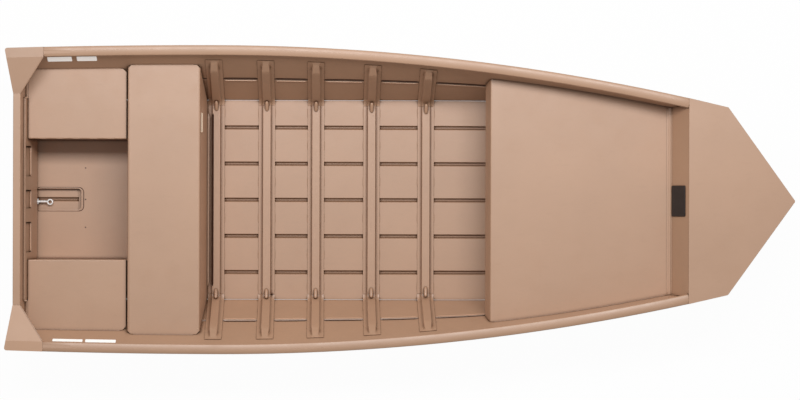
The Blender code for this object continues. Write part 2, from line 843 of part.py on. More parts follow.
def make_floor_rib(name, x):
    floor = rib_runs(x, RIB_TOP_Z)[0]
    if chine_z(x + RIB_HALF) - keel_z(x + RIB_HALF) < CLEAR:
        square_end = min(floor[-1])
        floor = [floor[0], (square_end, square_end)]
    half = [hat_section(x, low, high, RIB_HEIGHT, 1) for low, high in floor]
    half[0] = [(px, 0.0, pz) for px, _, pz in half[0]]
    other = [[(px, -py, pz) for px, py, pz in section] for section in half[1:]]
    swept_solid(name, list(reversed(other)) + half, "tan_paint")


def make_side_rib(name, x, side, top_z):
    run = rib_runs(x, top_z)[1]
    tab = [0.8 * RIB_HEIGHT, RIB_SHEET]
    heights = [RIB_HEIGHT] * (len(run) - len(tab)) + tab
    sections = [hat_section(x, low, high, height, side) for (low, high), height in zip(run, heights)]
    onward = (Vector(sections[1][0]) - Vector(sections[0][0])).normalized() * CLEAR
    sections[0] = [tuple(Vector(point) + onward) for point in sections[0]]
    swept_solid(name, sections, "tan_paint")


def make_ribs():
    number = 0
    for xs, top_z in ((OPEN_RIB_XS, RIB_TOP_Z), (DECK_RIB_XS, DECK_RIB_TOP_Z)):
        for x in xs:
            number += 1
            make_floor_rib(f"floor_rib_{number}", x)
            make_side_rib(f"side_rib_port_{number}", x, 1, top_z)
            make_side_rib(f"side_rib_starboard_{number}", x, -1, top_z)
    for letter, x in zip("ab", COVERED_RIB_XS):
        make_floor_rib(f"aft_floor_rib_{letter}", x)


# Stern furniture

BENCH_AFT_X = BOX_AFT_X + BOX_LENGTH + BENCH_GAP
BENCH_FORE_X = BENCH_AFT_X + BENCH_LENGTH
BOX_INNER_Y = BEAM / 2 - BOX_INNER_INSET
FLOOR_TOP = BOTTOM_Z + BOTTOM_SHEET
WELL_TOP = FLOOR_TOP + RIB_HEIGHT + WELL_FLOOR_SHEET + 2 * CLEAR


def corner_cutter(name, x, y, size, low, high):
    """A vertical prism that trims a square corner, centred on the corner."""
    points = [(x - size, y, low), (x, y - size, low), (x + size, y, low), (x, y + size, low)]
    return extruded(name, points, (0, 0, high - low), None, CUTTERS)


def make_box_top(name, side):
    """The lid sheet of a stern box, with its inner edge rolled down."""
    aft = BOX_AFT_X
    fore = BOX_AFT_X + BOX_LENGTH
    roll = BOX_ROLL
    rows = []
    inner = [
        (BOX_INNER_Y, BOX_HEIGHT - BOX_FLANGE),
        (BOX_INNER_Y, BOX_HEIGHT - roll),
        (BOX_INNER_Y + roll * 0.3, BOX_HEIGHT - roll * 0.3),
        (BOX_INNER_Y + roll, BOX_HEIGHT),
    ]
    for x in (aft, (aft + fore) / 2, fore - BOX_CHAMFER, fore):
        outer = side_inner_y(x, BOX_HEIGHT - PANEL_SHEET) - FIT
        if x == fore:
            outer -= BOX_CHAMFER
        row = [(x, side * y, z) for y, z in inner]
        row.append((x, side * outer, BOX_HEIGHT))
        rows.append(row)
    lid = grid_surface(name, rows, "tan_paint")
    solidify(lid, PANEL_SHEET, offset=side)


def make_box_panel(name, side):
    """The upright inboard wall of a stern box."""
    top = BOX_HEIGHT - BOX_ROLL - CLEAR
    low = WELL_TOP + GAP
    face = BOX_INNER_Y + PANEL_SHEET + GAP
    pan_face = PAN_DEPTH + CLEAR
    outline = [
        (transom_inner_x(low) + pan_face, face, low),
        (BENCH_AFT_X - GAP, face, low),
        (BENCH_AFT_X - GAP, face, top),
        (transom_inner_x(top) + pan_face, face, top),
    ]
    outline = [(x, side * y, z) for x, y, z in outline]
    extruded(name, outline, (0, side * PANEL_SHEET, 0), "tan_paint")


def make_bench():
    lean = BENCH_FRONT_SLOPE / (BENCH_HEIGHT - FLOOR_TOP)
    r = BENCH_RADIUS
    lip = BENCH_LIP
    profile = [
        (BENCH_AFT_X, BENCH_HEIGHT - lip),
        (BENCH_AFT_X, BENCH_HEIGHT - r),
        (BENCH_AFT_X + 0.3 * r, BENCH_HEIGHT - 0.3 * r),
        (BENCH_AFT_X + r, BENCH_HEIGHT),
        (BENCH_FORE_X - r, BENCH_HEIGHT),
        (BENCH_FORE_X - 0.3 * r, BENCH_HEIGHT - 0.3 * r),
        (BENCH_FORE_X + lean * r, BENCH_HEIGHT - r),
        (BENCH_FORE_X + lean * lip, BENCH_HEIGHT - lip),
    ]
    rows = []
    for x, z in profile:
        reach = side_inner_y(x, z - PANEL_SHEET) - FIT
        rows.append([(x, -reach, z), (x, reach, z)])
    top = grid_surface("bench_top", rows, "tan_paint")
    solidify(top, PANEL_SHEET, offset=1.0)
    for x, tag in ((BENCH_AFT_X, "aft"), (BENCH_FORE_X, "fore")):
        for side in (1, -1):
            y = side * (side_inner_y(x, BENCH_HEIGHT) - FIT)
            low = BENCH_HEIGHT - 0.1
            high = BENCH_HEIGHT + 0.1
            cut(top, corner_cutter(f"bench {tag} {side}", x, y, BENCH_CHAMFER, low, high))

    panel_high = BENCH_HEIGHT - r - 2 * PANEL_SHEET
    back = PANEL_SHEET * math.hypot(1.0, lean) + GAP

    def front_x(z):
        return BENCH_FORE_X + lean * (BENCH_HEIGHT - z) - back

    corners = []
    for z in (FLOOR_TOP + CLEAR, panel_high):
        corners.append((side_inner_y(front_x(z), z) - FIT, z))
    outline = [(front_x(z), y, z) for y, z in both_sides(corners)]
    front = extruded("bench_front_panel", outline, (-PANEL_SHEET, 0, 0), "tan_paint")
    x = front_x(SLOT_Z)
    half = SLOT_LENGTH / 2
    deep = SLOT_WIDTH / 2
    slot = [
        (SLOT_Y - half, SLOT_Z - deep),
        (SLOT_Y + half, SLOT_Z - deep),
        (SLOT_Y + half, SLOT_Z + deep),
        (SLOT_Y - half, SLOT_Z + deep),
    ]
    slot = [(x - 0.04, y, z) for y, z in rounded(slot, SLOT_WIDTH * 0.49, 4)]
    cut(front, extruded("panel slot", slot, (0.08, 0, 0), None, CUTTERS))

    aft_x = BENCH_AFT_X + PANEL_SHEET + GAP
    corners = []
    for z in (FLOOR_TOP + CLEAR, BENCH_HEIGHT - r):
        corners.append((side_inner_y(aft_x, z) - FIT, z))
    outline = [(aft_x, y, z) for y, z in both_sides(corners)]
    extruded("bench_aft_panel", outline, (PANEL_SHEET, 0, 0), "tan_paint")


def make_well_floor():
    """The flat panel over the aft ribs, cut away over the sump."""
    low = WELL_TOP - WELL_FLOOR_SHEET
    aft = transom_inner_x(low) + CLEAR
    fore = BENCH_AFT_X + PANEL_SHEET - CLEAR
    half = BOTTOM_WIDTH / 2 - WELL_FLOOR_INSET
    corners = [(aft, -half), (fore, -half), (fore, half), (aft, half)]
    outline = [(x, y, low) for x, y in corners]
    panel = extruded("well_floor", outline, (0, 0, WELL_FLOOR_SHEET), "tan_paint")
    end = aft + SUMP_LENGTH
    sump = [
        (aft - 0.1, -SUMP_HALF_WIDTH),
        (end, -SUMP_HALF_WIDTH),
        (end, SUMP_HALF_WIDTH),
        (aft - 0.1, SUMP_HALF_WIDTH),
    ]
    sump = [(x, y, low - 0.02) for x, y in rounded(sump, SUMP_RADIUS, 5)]
    cut(panel, extruded("sump", sump, (0, 0, 0.05), None, CUTTERS))


# Front deck and bow

DECK_AFT_X = TIP_X - DECK_AFT_FROM_TIP
DECK_FRONT_X = TIP_X - DECK_FRONT_FROM_TIP


def half_row(x, z, clear):
    reach = side_inner_y(x, z - DECK_SHEET) - clear
    return [(x, 0.0, z), (x, reach, z)]


def make_deck():
    r = DECK_LIP_RADIUS
    lean = DECK_LIP_SLOPE / DECK_LIP_DROP
    lip = [
        (DECK_AFT_X - DECK_LIP_SLOPE, DECK_HEIGHT - DECK_LIP_DROP),
        (DECK_AFT_X - lean * r, DECK_HEIGHT - r),
        (DECK_AFT_X + 0.25 * r, DECK_HEIGHT - 0.28 * r),
    ]
    rows = [half_row(x, z, FIT) for x, z in lip]
    rows += [half_row(x, DECK_HEIGHT, FIT) for x in hull_stations(DECK_AFT_X + r, DECK_FRONT_X)]
    rows.append(half_row(DECK_FRONT_X + DECK_UPTURN_RUN, DECK_HEIGHT + DECK_UPTURN, FIT))
    sheet = grid_surface("front_deck", rows, "tan_paint")
    mirror(sheet)
    solidify(sheet, DECK_SHEET, offset=1.0)


def make_deck_beam(name, x):
    """A folded channel under the deck, standing on the side ribs' line."""
    high = DECK_HEIGHT - DECK_SHEET - CLEAR
    wall = DECK_BEAM_SHEET
    deep = DECK_BEAM_DEPTH
    wide = DECK_BEAM_WIDTH / 2
    section = [
        (-wide, high),
        (wide, high),
        (wide, high - deep),
        (wide - wall, high - deep),
        (wide - wall, high - wall),
        (-wide + wall, high - wall),
        (-wide + wall, high - deep),
        (-wide, high - deep),
    ]
    sections = []
    for side in (-1, 1):
        ring = []
        for s, z in section:
            ring.append((x + s, side * (side_inner_y(x + s, z) - FIT), z))
        sections.append(ring)
    swept_solid(name, sections, "tan_paint")


def riser_x(z):
    """Station of the riser's face, which slopes forward from the deck to the cap."""
    foot_x = DECK_FRONT_X + DECK_UPTURN_RUN + 0.6 * DECK_SHEET
    foot_z = DECK_HEIGHT
    share = (z - foot_z) / (HULL_TOP_Z - foot_z)
    return foot_x + (CAP_AFT_X - foot_x) * share


def make_riser():
    low = DECK_HEIGHT + GAP
    high = HULL_TOP_Z - CLEAR
    leg_end = GUNWALE_CROWN / 2 + GUNWALE_WALL + LEG_DEPTH
    notch = sheer_z(CAP_AFT_X) - max(INNER_SKIRT, leg_end) - 2 * CLEAR
    narrow = sheer_y(CAP_AFT_X + DECK_SHEET) - GUNWALE_WIDTH - FIT
    rows = []
    for z, limit in ((low, BEAM), (notch - CLEAR, BEAM), (notch, narrow), (high, narrow)):
        x = riser_x(z) + CLEAR
        reach = min(side_inner_y(x + DECK_SHEET, z) - FIT, limit)
        rows.append([(x, -reach, z), (x, reach, z)])
    sheet = grid_surface("riser", rows, "tan_paint")
    solidify(sheet, DECK_SHEET, offset=1.0)


def make_riser_plate():
    """The blank plastic plate on the riser."""
    slope = Vector((riser_x(0.5) - riser_x(0.4), 0.0, 0.1)).normalized()
    inward = Vector((-slope.z, 0.0, slope.x))
    low_z = DECK_HEIGHT + PLATE_LIFT
    base = Vector((riser_x(low_z) + CLEAR, 0.0, low_z)) + inward * CLEAR
    half = PLATE_WIDTH / 2
    corners = [(-half, 0.0), (half, 0.0), (half, PLATE_HEIGHT), (-half, PLATE_HEIGHT)]
    corners = rounded(corners, PLATE_RADIUS, 3)
    outline = [tuple(base + Vector((0.0, y, 0.0)) + slope * up) for y, up in corners]
    plate = extruded("riser_plate", outline, tuple(inward * PLATE_THICKNESS), "black_plastic")
    bevel(plate, 0.0012, 1, 60.0)


def make_bow_cap():
    """The flat cap over the bow, folded down along its outer edges."""
    port = [(x, sheer_y(x)) for x in (CAP_AFT_X, SHOULDER_X)] + [(TIP_X, 0.004)]
    outline = port + [(x, -y) for x, y in reversed(port)]
    aft_edge = len(outline) - 1
    body = extruded(
        "bow_cap",
        [(x, y, BOW_HEIGHT - CAP_SKIRT) for x, y in outline],
        (0, 0, CAP_SKIRT),
        "tan_paint",
    )
    hollow = inset_outline(outline, CAP_SHEET, (aft_edge,))
    under = [(x, y, BOW_HEIGHT - CAP_SKIRT - 0.05) for x, y in hollow]
    deep = CAP_SKIRT + 0.05 - CAP_SHEET
    cut(body, extruded("bow cap hollow", under, (0, 0, deep), None, CUTTERS))


# Fittings


def make_eye(name, place, out, along):
    """A bent rod eye on a round base plate."""
    out = Vector(out).normalized()
    place = Vector(place) + out * CLEAR
    along = Vector(along).normalized()
    half = EYE_WIDTH / 2
    points = []
    for k in range(9):
        turn = math.pi * k / 8
        rise = EYE_REACH - half + half * math.sin(turn)
        points.append(place + along * half * math.cos(turn) + out * rise)
    points.insert(0, place + along * half + out * 0.001)
    points.append(place - along * half + out * 0.001)
    curve = bpy.data.curves.new(name, "CURVE")
    curve.dimensions = "3D"
    curve.bevel_depth = EYE_ROD / 2
    curve.bevel_resolution = 2
    curve.use_fill_caps = True
    spline = curve.splines.new("POLY")
    spline.points.add(len(points) - 1)
    for point, co in zip(spline.points, points):
        point.co = (*co, 1.0)
    rod = bpy.data.objects.new(name, curve)
    BOAT.objects.link(rod)
    bpy.context.view_layer.update()
    graph = bpy.context.evaluated_depsgraph_get()
    mesh = bpy.data.meshes.new_from_object(rod.evaluated_get(graph))
    bpy.data.objects.remove(rod, do_unlink=True)
    bm = bmesh.new()
    bm.from_mesh(mesh)
    bmesh.ops.remove_doubles(bm, verts=bm.verts, dist=1e-5)
    bmesh.ops.recalc_face_normals(bm, faces=bm.faces)
    obj = mesh_object(name, bm, "bright_steel")
    plate = bmesh.new()
    frame = Matrix((along, out.cross(along), out)).transposed().to_4x4()
    middle = Matrix.Translation(place + out * EYE_PLATE / 2) @ frame
    scale = Matrix.Diagonal((half + EYE_ROD * 1.3, EYE_ROD * 1.3, EYE_PLATE, 1.0))
    bmesh.ops.create_cone(
        plate,
        cap_ends=True,
        segments=20,
        radius1=1,
        radius2=1,
        depth=1,
        matrix=middle @ scale,
    )
    base = mesh_object(name + " base", plate, None, CUTTERS)
    join = obj.modifiers.new("base", "BOOLEAN")
    join.operation = "UNION"
    join.object = base
    return obj


def make_drain():
    """The flanged drain tube through the transom and the ringed plug in its mouth."""
    mouth = TRANSOM_THICKNESS + DRAIN_PROUD
    outer = DRAIN_RADIUS + DRAIN_WALL
    # Each point is a radius and a distance along the tube
    profile = [
        (DRAIN_RADIUS, mouth),
        (outer, mouth),
        (outer, -CLEAR),
        (DRAIN_FLANGE, -CLEAR),
        (DRAIN_FLANGE, -CLEAR - DRAIN_WALL),
        (DRAIN_RADIUS, -CLEAR - DRAIN_WALL),
    ]
    turned("drain_tube", profile, "bright_steel")
    plug = [
        (0.0, mouth + PLUG_REACH),
        (PLUG_KNOB, mouth + PLUG_REACH),
        (PLUG_KNOB, mouth + PLUG_COLLAR),
        (outer, mouth + PLUG_COLLAR),
        (outer, mouth + GAP),
        (DRAIN_RADIUS - GAP, mouth + GAP),
        (DRAIN_RADIUS - GAP, mouth - PLUG_DEPTH),
        (0.0, mouth - PLUG_DEPTH),
    ]
    turned("drain_plug", plug, "bright_steel")


def turned(name, profile, material, collection=None):
    """A profile of radii and distances turned about the drain's axis."""
    bm = bmesh.new()
    closed = profile[0][0] > 0
    points = [bm.verts.new((along, 0.0, radius)) for radius, along in profile]
    for a, b in zip(points, points[1:]):
        bm.edges.new((a, b))
    if closed:
        bm.edges.new((points[-1], points[0]))
    bmesh.ops.spin(
        bm,
        geom=bm.verts[:] + bm.edges[:],
        cent=(0, 0, 0),
        axis=(1, 0, 0),
        angle=math.radians(360),
        steps=16,
        use_merge=True,
    )
    bmesh.ops.remove_doubles(bm, verts=bm.verts, dist=1e-5)
    bmesh.ops.recalc_face_normals(bm, faces=bm.faces)
    bmesh.ops.transform(bm, matrix=drain_frame(), verts=bm.verts)
    return mesh_object(name, bm, material, collection)


def make_bow_eye():
    """The eye on the stem, square to the curve of the keel."""
    down = KEEL_RADIUS - (BOW_EYE_Z - BOTTOM_Z)
    run = math.sqrt(KEEL_RADIUS * KEEL_RADIUS - down * down)
    make_eye("bow_eye", (KEEL_BEND_X + run, 0.0, BOW_EYE_Z), (run, 0, -down), (down, 0, run))


make_bottom()
for port, tag in ((1, "port"), (-1, "starboard")):
    make_side(f"hull_side_{tag}", port)
    make_gunwale(f"gunwale_{tag}", port)
    make_gusset(f"corner_gusset_{tag}", port)
    make_box_top(f"stern_box_top_{tag}", port)
    make_box_panel(f"stern_box_panel_{tag}", port)
make_transom()
make_transom_cap()
make_transom_pan()
make_ribs()
make_bench()
make_well_floor()
make_deck()
for letter, distance in zip("ab", DECK_BEAMS):
    make_deck_beam(f"deck_beam_{letter}", STERN_X + distance)
make_riser()
make_riser_plate()
make_bow_cap()
make_bow_eye()
make_drain()
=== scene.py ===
"""Looks for the jon boat: paint, fasteners, weld beads and blank plates over the CAD frame."""

import math

import bmesh
import bpy
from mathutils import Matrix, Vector
from mathutils.bvhtree import BVHTree


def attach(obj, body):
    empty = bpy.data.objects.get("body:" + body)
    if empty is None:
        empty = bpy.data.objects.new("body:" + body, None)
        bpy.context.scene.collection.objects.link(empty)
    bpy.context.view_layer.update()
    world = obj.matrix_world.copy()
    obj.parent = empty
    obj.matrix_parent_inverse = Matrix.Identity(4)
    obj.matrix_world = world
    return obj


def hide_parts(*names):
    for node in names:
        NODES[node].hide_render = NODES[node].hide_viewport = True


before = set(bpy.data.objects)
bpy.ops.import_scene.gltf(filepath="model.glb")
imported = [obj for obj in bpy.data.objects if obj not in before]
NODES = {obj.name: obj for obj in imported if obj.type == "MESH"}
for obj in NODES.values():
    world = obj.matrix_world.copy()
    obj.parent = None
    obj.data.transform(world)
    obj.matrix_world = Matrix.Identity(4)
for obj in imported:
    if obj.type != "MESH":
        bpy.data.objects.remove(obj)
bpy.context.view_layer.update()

# The photograph: a camera high above the floor, looking straight down, with the bow to the right
IMAGE_WIDTH = 800
IMAGE_HEIGHT = 400
FOCAL_PIXELS = 2398.0
SENSOR = 36.0
CAMERA = Vector((-0.4302, 0.0, 14.52))
BELOW_CAMERA = (325.0, 200.0)
ROLL = math.radians(0.174)

# One long soft box above the port side, an even fill, and a floor that the camera sees almost white
BOX_PLACE = Vector((-0.1, 2.65, 6.4))
BOX_AIM = Vector((-0.1, 0.1, 0.2))
BOX_LENGTH = 7.6
BOX_WIDTH = 1.6
BOX_POWER = 440.0
SKY_STRENGTH = 0.32
FLOOR_SIZE = 30.0
FLOOR_Z = -0.001
FLOOR_GLOW = 0.97

# Paint, with painted shade darkening its crevices, where it also reflects less
TAN = (0.448, 0.263, 0.163, 1.0)
CREVICE_REACH = 0.026
CREVICE_SHADE = (0.22, 0.16, 0.12)

# Heights, stations and half widths of the CAD that small pieces are set by
RIB_XS = (-1.0870, -0.7824, -0.4855, -0.1500, 0.1780)
RIB_EDGE = 0.0503
SIDE_LEAN = 0.56
BENCH_Z = 0.384
BOX_Z = 0.348
BOX_PANEL_Y = 0.3595
DECK_Z = 0.385
DECK_AFT = 0.5980
WELL_Z = 0.0492
SUMP_X = -2.0350
SUMP_AFT = -2.163
GUNWALE_AFT = -2.0772
CAP_AFT = 1.6860
CAP_REACH = 0.5990
TRANSOM_CAP_REACH = 0.6195

# The pressed bead in each side: level aft of the knee, rising forward of it
BEAD_Z = 0.235
BEAD_KNEE = -0.4905
BEAD_RISE = 0.027

BOTH_SIDES = ((1, "port"), (-1, "starboard"))
MERGE = 0.00002


# Camera


def make_camera():
    data = bpy.data.cameras.new("camera")
    data.sensor_width = SENSOR
    data.lens = FOCAL_PIXELS / IMAGE_WIDTH * SENSOR
    data.shift_x = (IMAGE_WIDTH / 2 - BELOW_CAMERA[0]) / IMAGE_WIDTH
    data.shift_y = (BELOW_CAMERA[1] - IMAGE_HEIGHT / 2) / IMAGE_WIDTH
    data.clip_end = 100.0
    camera = bpy.data.objects.new("camera", data)
    camera.location = CAMERA
    camera.rotation_euler = (0.0, 0.0, ROLL)
    bpy.context.scene.collection.objects.link(camera)
    bpy.context.scene.camera = camera


# Shader nodes


def new_material(name):
    material = bpy.data.materials.new(name)
    material.use_nodes = True
    tree = material.node_tree
    return material, tree, tree.nodes["Principled BSDF"]


def add(tree, kind, **inputs):
    """A node with its inputs set by name, from a value or from another node's socket."""
    node = tree.nodes.new(kind)
    for name, value in inputs.items():
        socket = node.inputs[name.replace("_", " ")]
        if isinstance(value, bpy.types.NodeSocket):
            tree.links.new(value, socket)
        else:
            socket.default_value = value
    return node


def noise(tree, scale, detail=3.0, roughness=0.5, stretch=None):
    where = tree.nodes.new("ShaderNodeTexCoord").outputs["Object"]
    if stretch:
        where = add(tree, "ShaderNodeMapping", Vector=where, Scale=stretch).outputs["Vector"]
    made = add(
        tree, "ShaderNodeTexNoise", Vector=where, Scale=scale, Detail=detail, Roughness=roughness
    )
    return made.outputs["Fac"]


def ranged(tree, value, low, high, to_low, to_high):
    node = add(
        tree, "ShaderNodeMapRange", Value=value, From_Min=low, From_Max=high, To_Min=to_low, To_Max=to_high
    )
    return node.outputs["Result"]


def mixed(tree, share, first, second):
    node = tree.nodes.new("ShaderNodeMix")
    node.data_type = "RGBA"
    for socket, value in zip((node.inputs[0], node.inputs[6], node.inputs[7]), (share, first, second)):
        if isinstance(value, bpy.types.NodeSocket):
            tree.links.new(value, socket)
        else:
            socket.default_value = value
    return node.outputs[2]


def scaled(colour, factor):
    return (*(channel * factor for channel in colour[:3]), 1.0)


def toned(colour, factors):
    return (*(channel * factor for channel, factor in zip(colour, factors)), 1.0)


def bump(tree, height, strength, distance, normal=None):
    node = add(tree, "ShaderNodeBump", Height=height, Strength=strength, Distance=distance)
    if normal:
        tree.links.new(normal, node.inputs["Normal"])
    return node.outputs["Normal"]


# Materials


def paint(name, tint=1.0, texture=0.00010, mottle=0.05):
    """Matte sprayed paint over aluminium sheet: broad mottling, fine specks and orange peel, with painted
    shade darkening its crevices.
    """
    material, tree, shader = new_material(name)
    colour = scaled(TAN, tint)
    broad = ranged(tree, noise(tree, 2.3, 4.0, 0.55), 0.3, 0.7, 0.0, 1.0)
    shade = mixed(tree, broad, scaled(colour, 1.0 - mottle), scaled(colour, 1.0 + mottle * 0.6))
    specks = ranged(tree, noise(tree, 260.0, 2.0, 0.6), 0.35, 0.75, 0.0, 0.35)
    shade = mixed(tree, specks, shade, toned(colour, (1.10, 1.12, 1.16)))
    scuffs = ranged(tree, noise(tree, 14.0, 6.0, 0.65, (1.0, 3.0, 1.0)), 0.56, 0.72, 0.0, 0.30)
    shade = mixed(tree, scuffs, shade, scaled(colour, 0.90))
    # Painted shade: ambient occlusion darkens the colour towards a dark brown in crevices and corners, and
    # dims the reflection there
    corner = add(tree, "ShaderNodeAmbientOcclusion", Distance=CREVICE_REACH)
    corner.samples = 8
    crevice_shade = ranged(tree, corner.outputs["AO"], 0.47, 0.91, 0.97, 0.0)
    shade = mixed(tree, crevice_shade, shade, toned(colour, CREVICE_SHADE))
    tree.links.new(shade, shader.inputs["Base Color"])
    rough = ranged(tree, noise(tree, 8.0, 5.0, 0.6), 0.3, 0.7, 0.41, 0.53)
    tree.links.new(rough, shader.inputs["Roughness"])
    gloss = ranged(tree, corner.outputs["AO"], 0.42, 0.90, 0.05, 0.95)
    tree.links.new(gloss, shader.inputs["Specular IOR Level"])
    sheet = bump(tree, noise(tree, 3.0, 2.0, 0.4), 0.5, 0.0025)
    peel = bump(tree, noise(tree, 420.0, 2.0, 0.5), 0.6, texture, sheet)
    tree.links.new(peel, shader.inputs["Normal"])
    return material


def plastic(name, colour, gloss=0.5):
    material, tree, shader = new_material(name)
    grain = noise(tree, 900.0, 2.0, 0.5)
    patches = ranged(tree, noise(tree, 30.0, 3.0), 0.3, 0.7, 0.0, 1.0)
    tree.links.new(mixed(tree, patches, colour, scaled(colour, 1.5)), shader.inputs["Base Color"])
    tree.links.new(ranged(tree, grain, 0.3, 0.7, 0.42, 0.60), shader.inputs["Roughness"])
    tree.links.new(bump(tree, grain, 0.5, 0.00015), shader.inputs["Normal"])
    shader.inputs["Specular IOR Level"].default_value = gloss
    return material


def steel(name):
    material, tree, shader = new_material(name)
    shader.inputs["Metallic"].default_value = 1.0
    brushed = noise(tree, 300.0, 3.0, 0.6, (0.12, 1.0, 1.0))
    grey = mixed(tree, brushed, (0.55, 0.55, 0.56, 1.0), (0.78, 0.78, 0.78, 1.0))
    tree.links.new(grey, shader.inputs["Base Color"])
    tree.links.new(ranged(tree, brushed, 0.3, 0.7, 0.16, 0.32), shader.inputs["Roughness"])
    tree.links.new(bump(tree, brushed, 0.3, 0.00005), shader.inputs["Normal"])
    return material


def vinyl(name):
    """Blank white vinyl, a little soiled, that glows faintly to stay white in the sides' shade."""
    material, tree, shader = new_material(name)
    soiled = ranged(tree, noise(tree, 45.0, 4.0, 0.6), 0.45, 0.75, 0.0, 0.5)
    white = mixed(tree, soiled, (0.80, 0.79, 0.77, 1.0), (0.66, 0.62, 0.57, 1.0))
    tree.links.new(white, shader.inputs["Base Color"])
    shader.inputs["Roughness"].default_value = 0.35
    tree.links.new(bump(tree, noise(tree, 90.0, 2.0), 0.3, 0.0002), shader.inputs["Normal"])
    shader.inputs["Emission Color"].default_value = (1.0, 0.98, 0.95, 1.0)
    shader.inputs["Emission Strength"].default_value = 0.36
    return material


def zinc(name):
    material, tree, shader = new_material(name)
    shader.inputs["Metallic"].default_value = 0.25
    # It glows faintly, though it is no lamp: painted light that keeps the drain's zinc bright white
    shader.inputs["Emission Color"].default_value = (1.0, 0.98, 0.96, 1.0)
    shader.inputs["Emission Strength"].default_value = 0.10
    worn = noise(tree, 220.0, 3.0, 0.6)
    grey = mixed(tree, worn, (0.80, 0.80, 0.80, 1.0), (0.95, 0.95, 0.94, 1.0))
    tree.links.new(grey, shader.inputs["Base Color"])
    tree.links.new(ranged(tree, worn, 0.3, 0.7, 0.20, 0.34), shader.inputs["Roughness"])
    tree.links.new(bump(tree, worn, 0.3, 0.00005), shader.inputs["Normal"])
    return material


def foam(name):
    material, tree, shader = new_material(name)
    cells = noise(tree, 240.0, 4.0, 0.7)
    cream = mixed(tree, cells, (0.68, 0.50, 0.36, 1.0), (0.86, 0.68, 0.52, 1.0))
    tree.links.new(cream, shader.inputs["Base Color"])
    shader.inputs["Roughness"].default_value = 0.85
    tree.links.new(bump(tree, cells, 0.8, 0.0012), shader.inputs["Normal"])
    return material


PAINT = paint("tan_paint")
TEXTURED = paint("textured_tan_paint", texture=0.00022)
WELD_PAINT = paint("weld_tan_paint", tint=0.97, texture=0.00012)
# Paint made much lighter: painted highlight on the lips under the beads and on the ledges at the windows'
# feet
HIGHLIGHT_PAINT = paint("highlight_tan_paint", tint=1.45, texture=0.00008)
BLACK = plastic("black_plastic", (0.014, 0.011, 0.012, 1.0))
STEEL = steel("bright_steel")
WHITE = vinyl("white_vinyl")
FOAM = foam("cream_foam")
GLOWING_ZINC = zinc("glowing_zinc")
DARK = plastic("dark_fastener", (0.110, 0.075, 0.058, 1.0))
# Near-black brown for strips laid where shade falls: painted shadow
SHADOW_BROWN = plastic("painted_shadow_brown", (0.030, 0.011, 0.006, 1.0), gloss=0.05)

# CAD nodes that don't have the plain paint
NODE_MATERIALS = {
    "front_deck": TEXTURED,
    "bench_top": TEXTURED,
    "stern_box_top_port": TEXTURED,
    "stern_box_top_starboard": TEXTURED,
    "well_floor": TEXTURED,
    "bow_cap": TEXTURED,
    # The port gusset's paint is darker and the starboard gusset's lighter: painted shade and painted light
    # for the way their slopes face the key light
    "corner_gusset_port": paint("port_gusset_painted_shade_tan_paint", tint=0.92),
    "corner_gusset_starboard": paint("starboard_gusset_painted_light_tan_paint", tint=1.14),
    # The bench's front is painted lighter: painted light on a face that sits in shade
    "bench_front_panel": paint("bench_front_painted_light_tan_paint", tint=1.18),
    "riser_plate": BLACK,
    "drain_tube": GLOWING_ZINC,
    "drain_plug": GLOWING_ZINC,
    "bow_eye": STEEL,
}

# CAD nodes whose shallow folds are shown sharp
FLAT_NODES = {"corner_gusset_port", "corner_gusset_starboard"}
CRISP_NODES = FLAT_NODES | {"gunwale_port", "gunwale_starboard"}
CRISP_ANGLE = math.radians(3.0)
EDGE_ROUND = 0.0010
EDGE_ANGLE = math.radians(24)


def dress(name, obj):
    """Gives a CAD node its material, joins its facets and rounds its folds a little."""
    for slot in obj.material_slots:
        slot.material = NODE_MATERIALS.get(name, PAINT)
    obj.data.shade_smooth()
    weld = obj.modifiers.new("weld", "WELD")
    weld.merge_threshold = MERGE
    edge = obj.modifiers.new("edges", "BEVEL")
    edge.width = EDGE_ROUND
    edge.segments = 2
    edge.limit_method = "ANGLE"
    edge.angle_limit = EDGE_ANGLE
    if name in CRISP_NODES:
        obj.data.set_sharp_from_angle(angle=CRISP_ANGLE)
        if name in FLAT_NODES:
            obj.data.shade_flat()
        return
    even = obj.modifiers.new("normals", "WEIGHTED_NORMAL")
    even.weight = 50


# Stage


def make_stage():
    """A pale floor that takes soft shadows and looks nearly white to the camera and in reflections."""
    bm = bmesh.new()
    bmesh.ops.create_grid(bm, x_segments=1, y_segments=1, size=FLOOR_SIZE)
    mesh = bpy.data.meshes.new("floor")
    bm.to_mesh(mesh)
    bm.free()
    floor = bpy.data.objects.new("floor", mesh)
    floor.location.z = FLOOR_Z
    bpy.context.scene.collection.objects.link(floor)
    material, tree, shader = new_material("floor")
    shader.inputs["Base Color"].default_value = (0.80, 0.80, 0.80, 1.0)
    shader.inputs["Roughness"].default_value = 0.9
    shader.inputs["Specular IOR Level"].default_value = 0.1
    seen = tree.nodes.new("ShaderNodeLightPath")
    ways = tree.nodes.new("ShaderNodeMath")
    ways.operation = "MAXIMUM"
    tree.links.new(seen.outputs["Is Camera Ray"], ways.inputs[0])
    tree.links.new(seen.outputs["Is Glossy Ray"], ways.inputs[1])
    share = tree.nodes.new("ShaderNodeMath")
    share.operation = "MULTIPLY"
    tree.links.new(ways.outputs[0], share.inputs[0])
    share.inputs[1].default_value = FLOOR_GLOW
    glow = add(tree, "ShaderNodeEmission", Color=(1.0, 1.0, 1.0, 1.0), Strength=1.0)
    blend = tree.nodes.new("ShaderNodeMixShader")
    tree.links.new(share.outputs[0], blend.inputs[0])
    tree.links.new(shader.outputs[0], blend.inputs[1])
    tree.links.new(glow.outputs[0], blend.inputs[2])
    tree.links.new(blend.outputs[0], tree.nodes["Material Output"].inputs["Surface"])
    floor.data.materials.append(material)


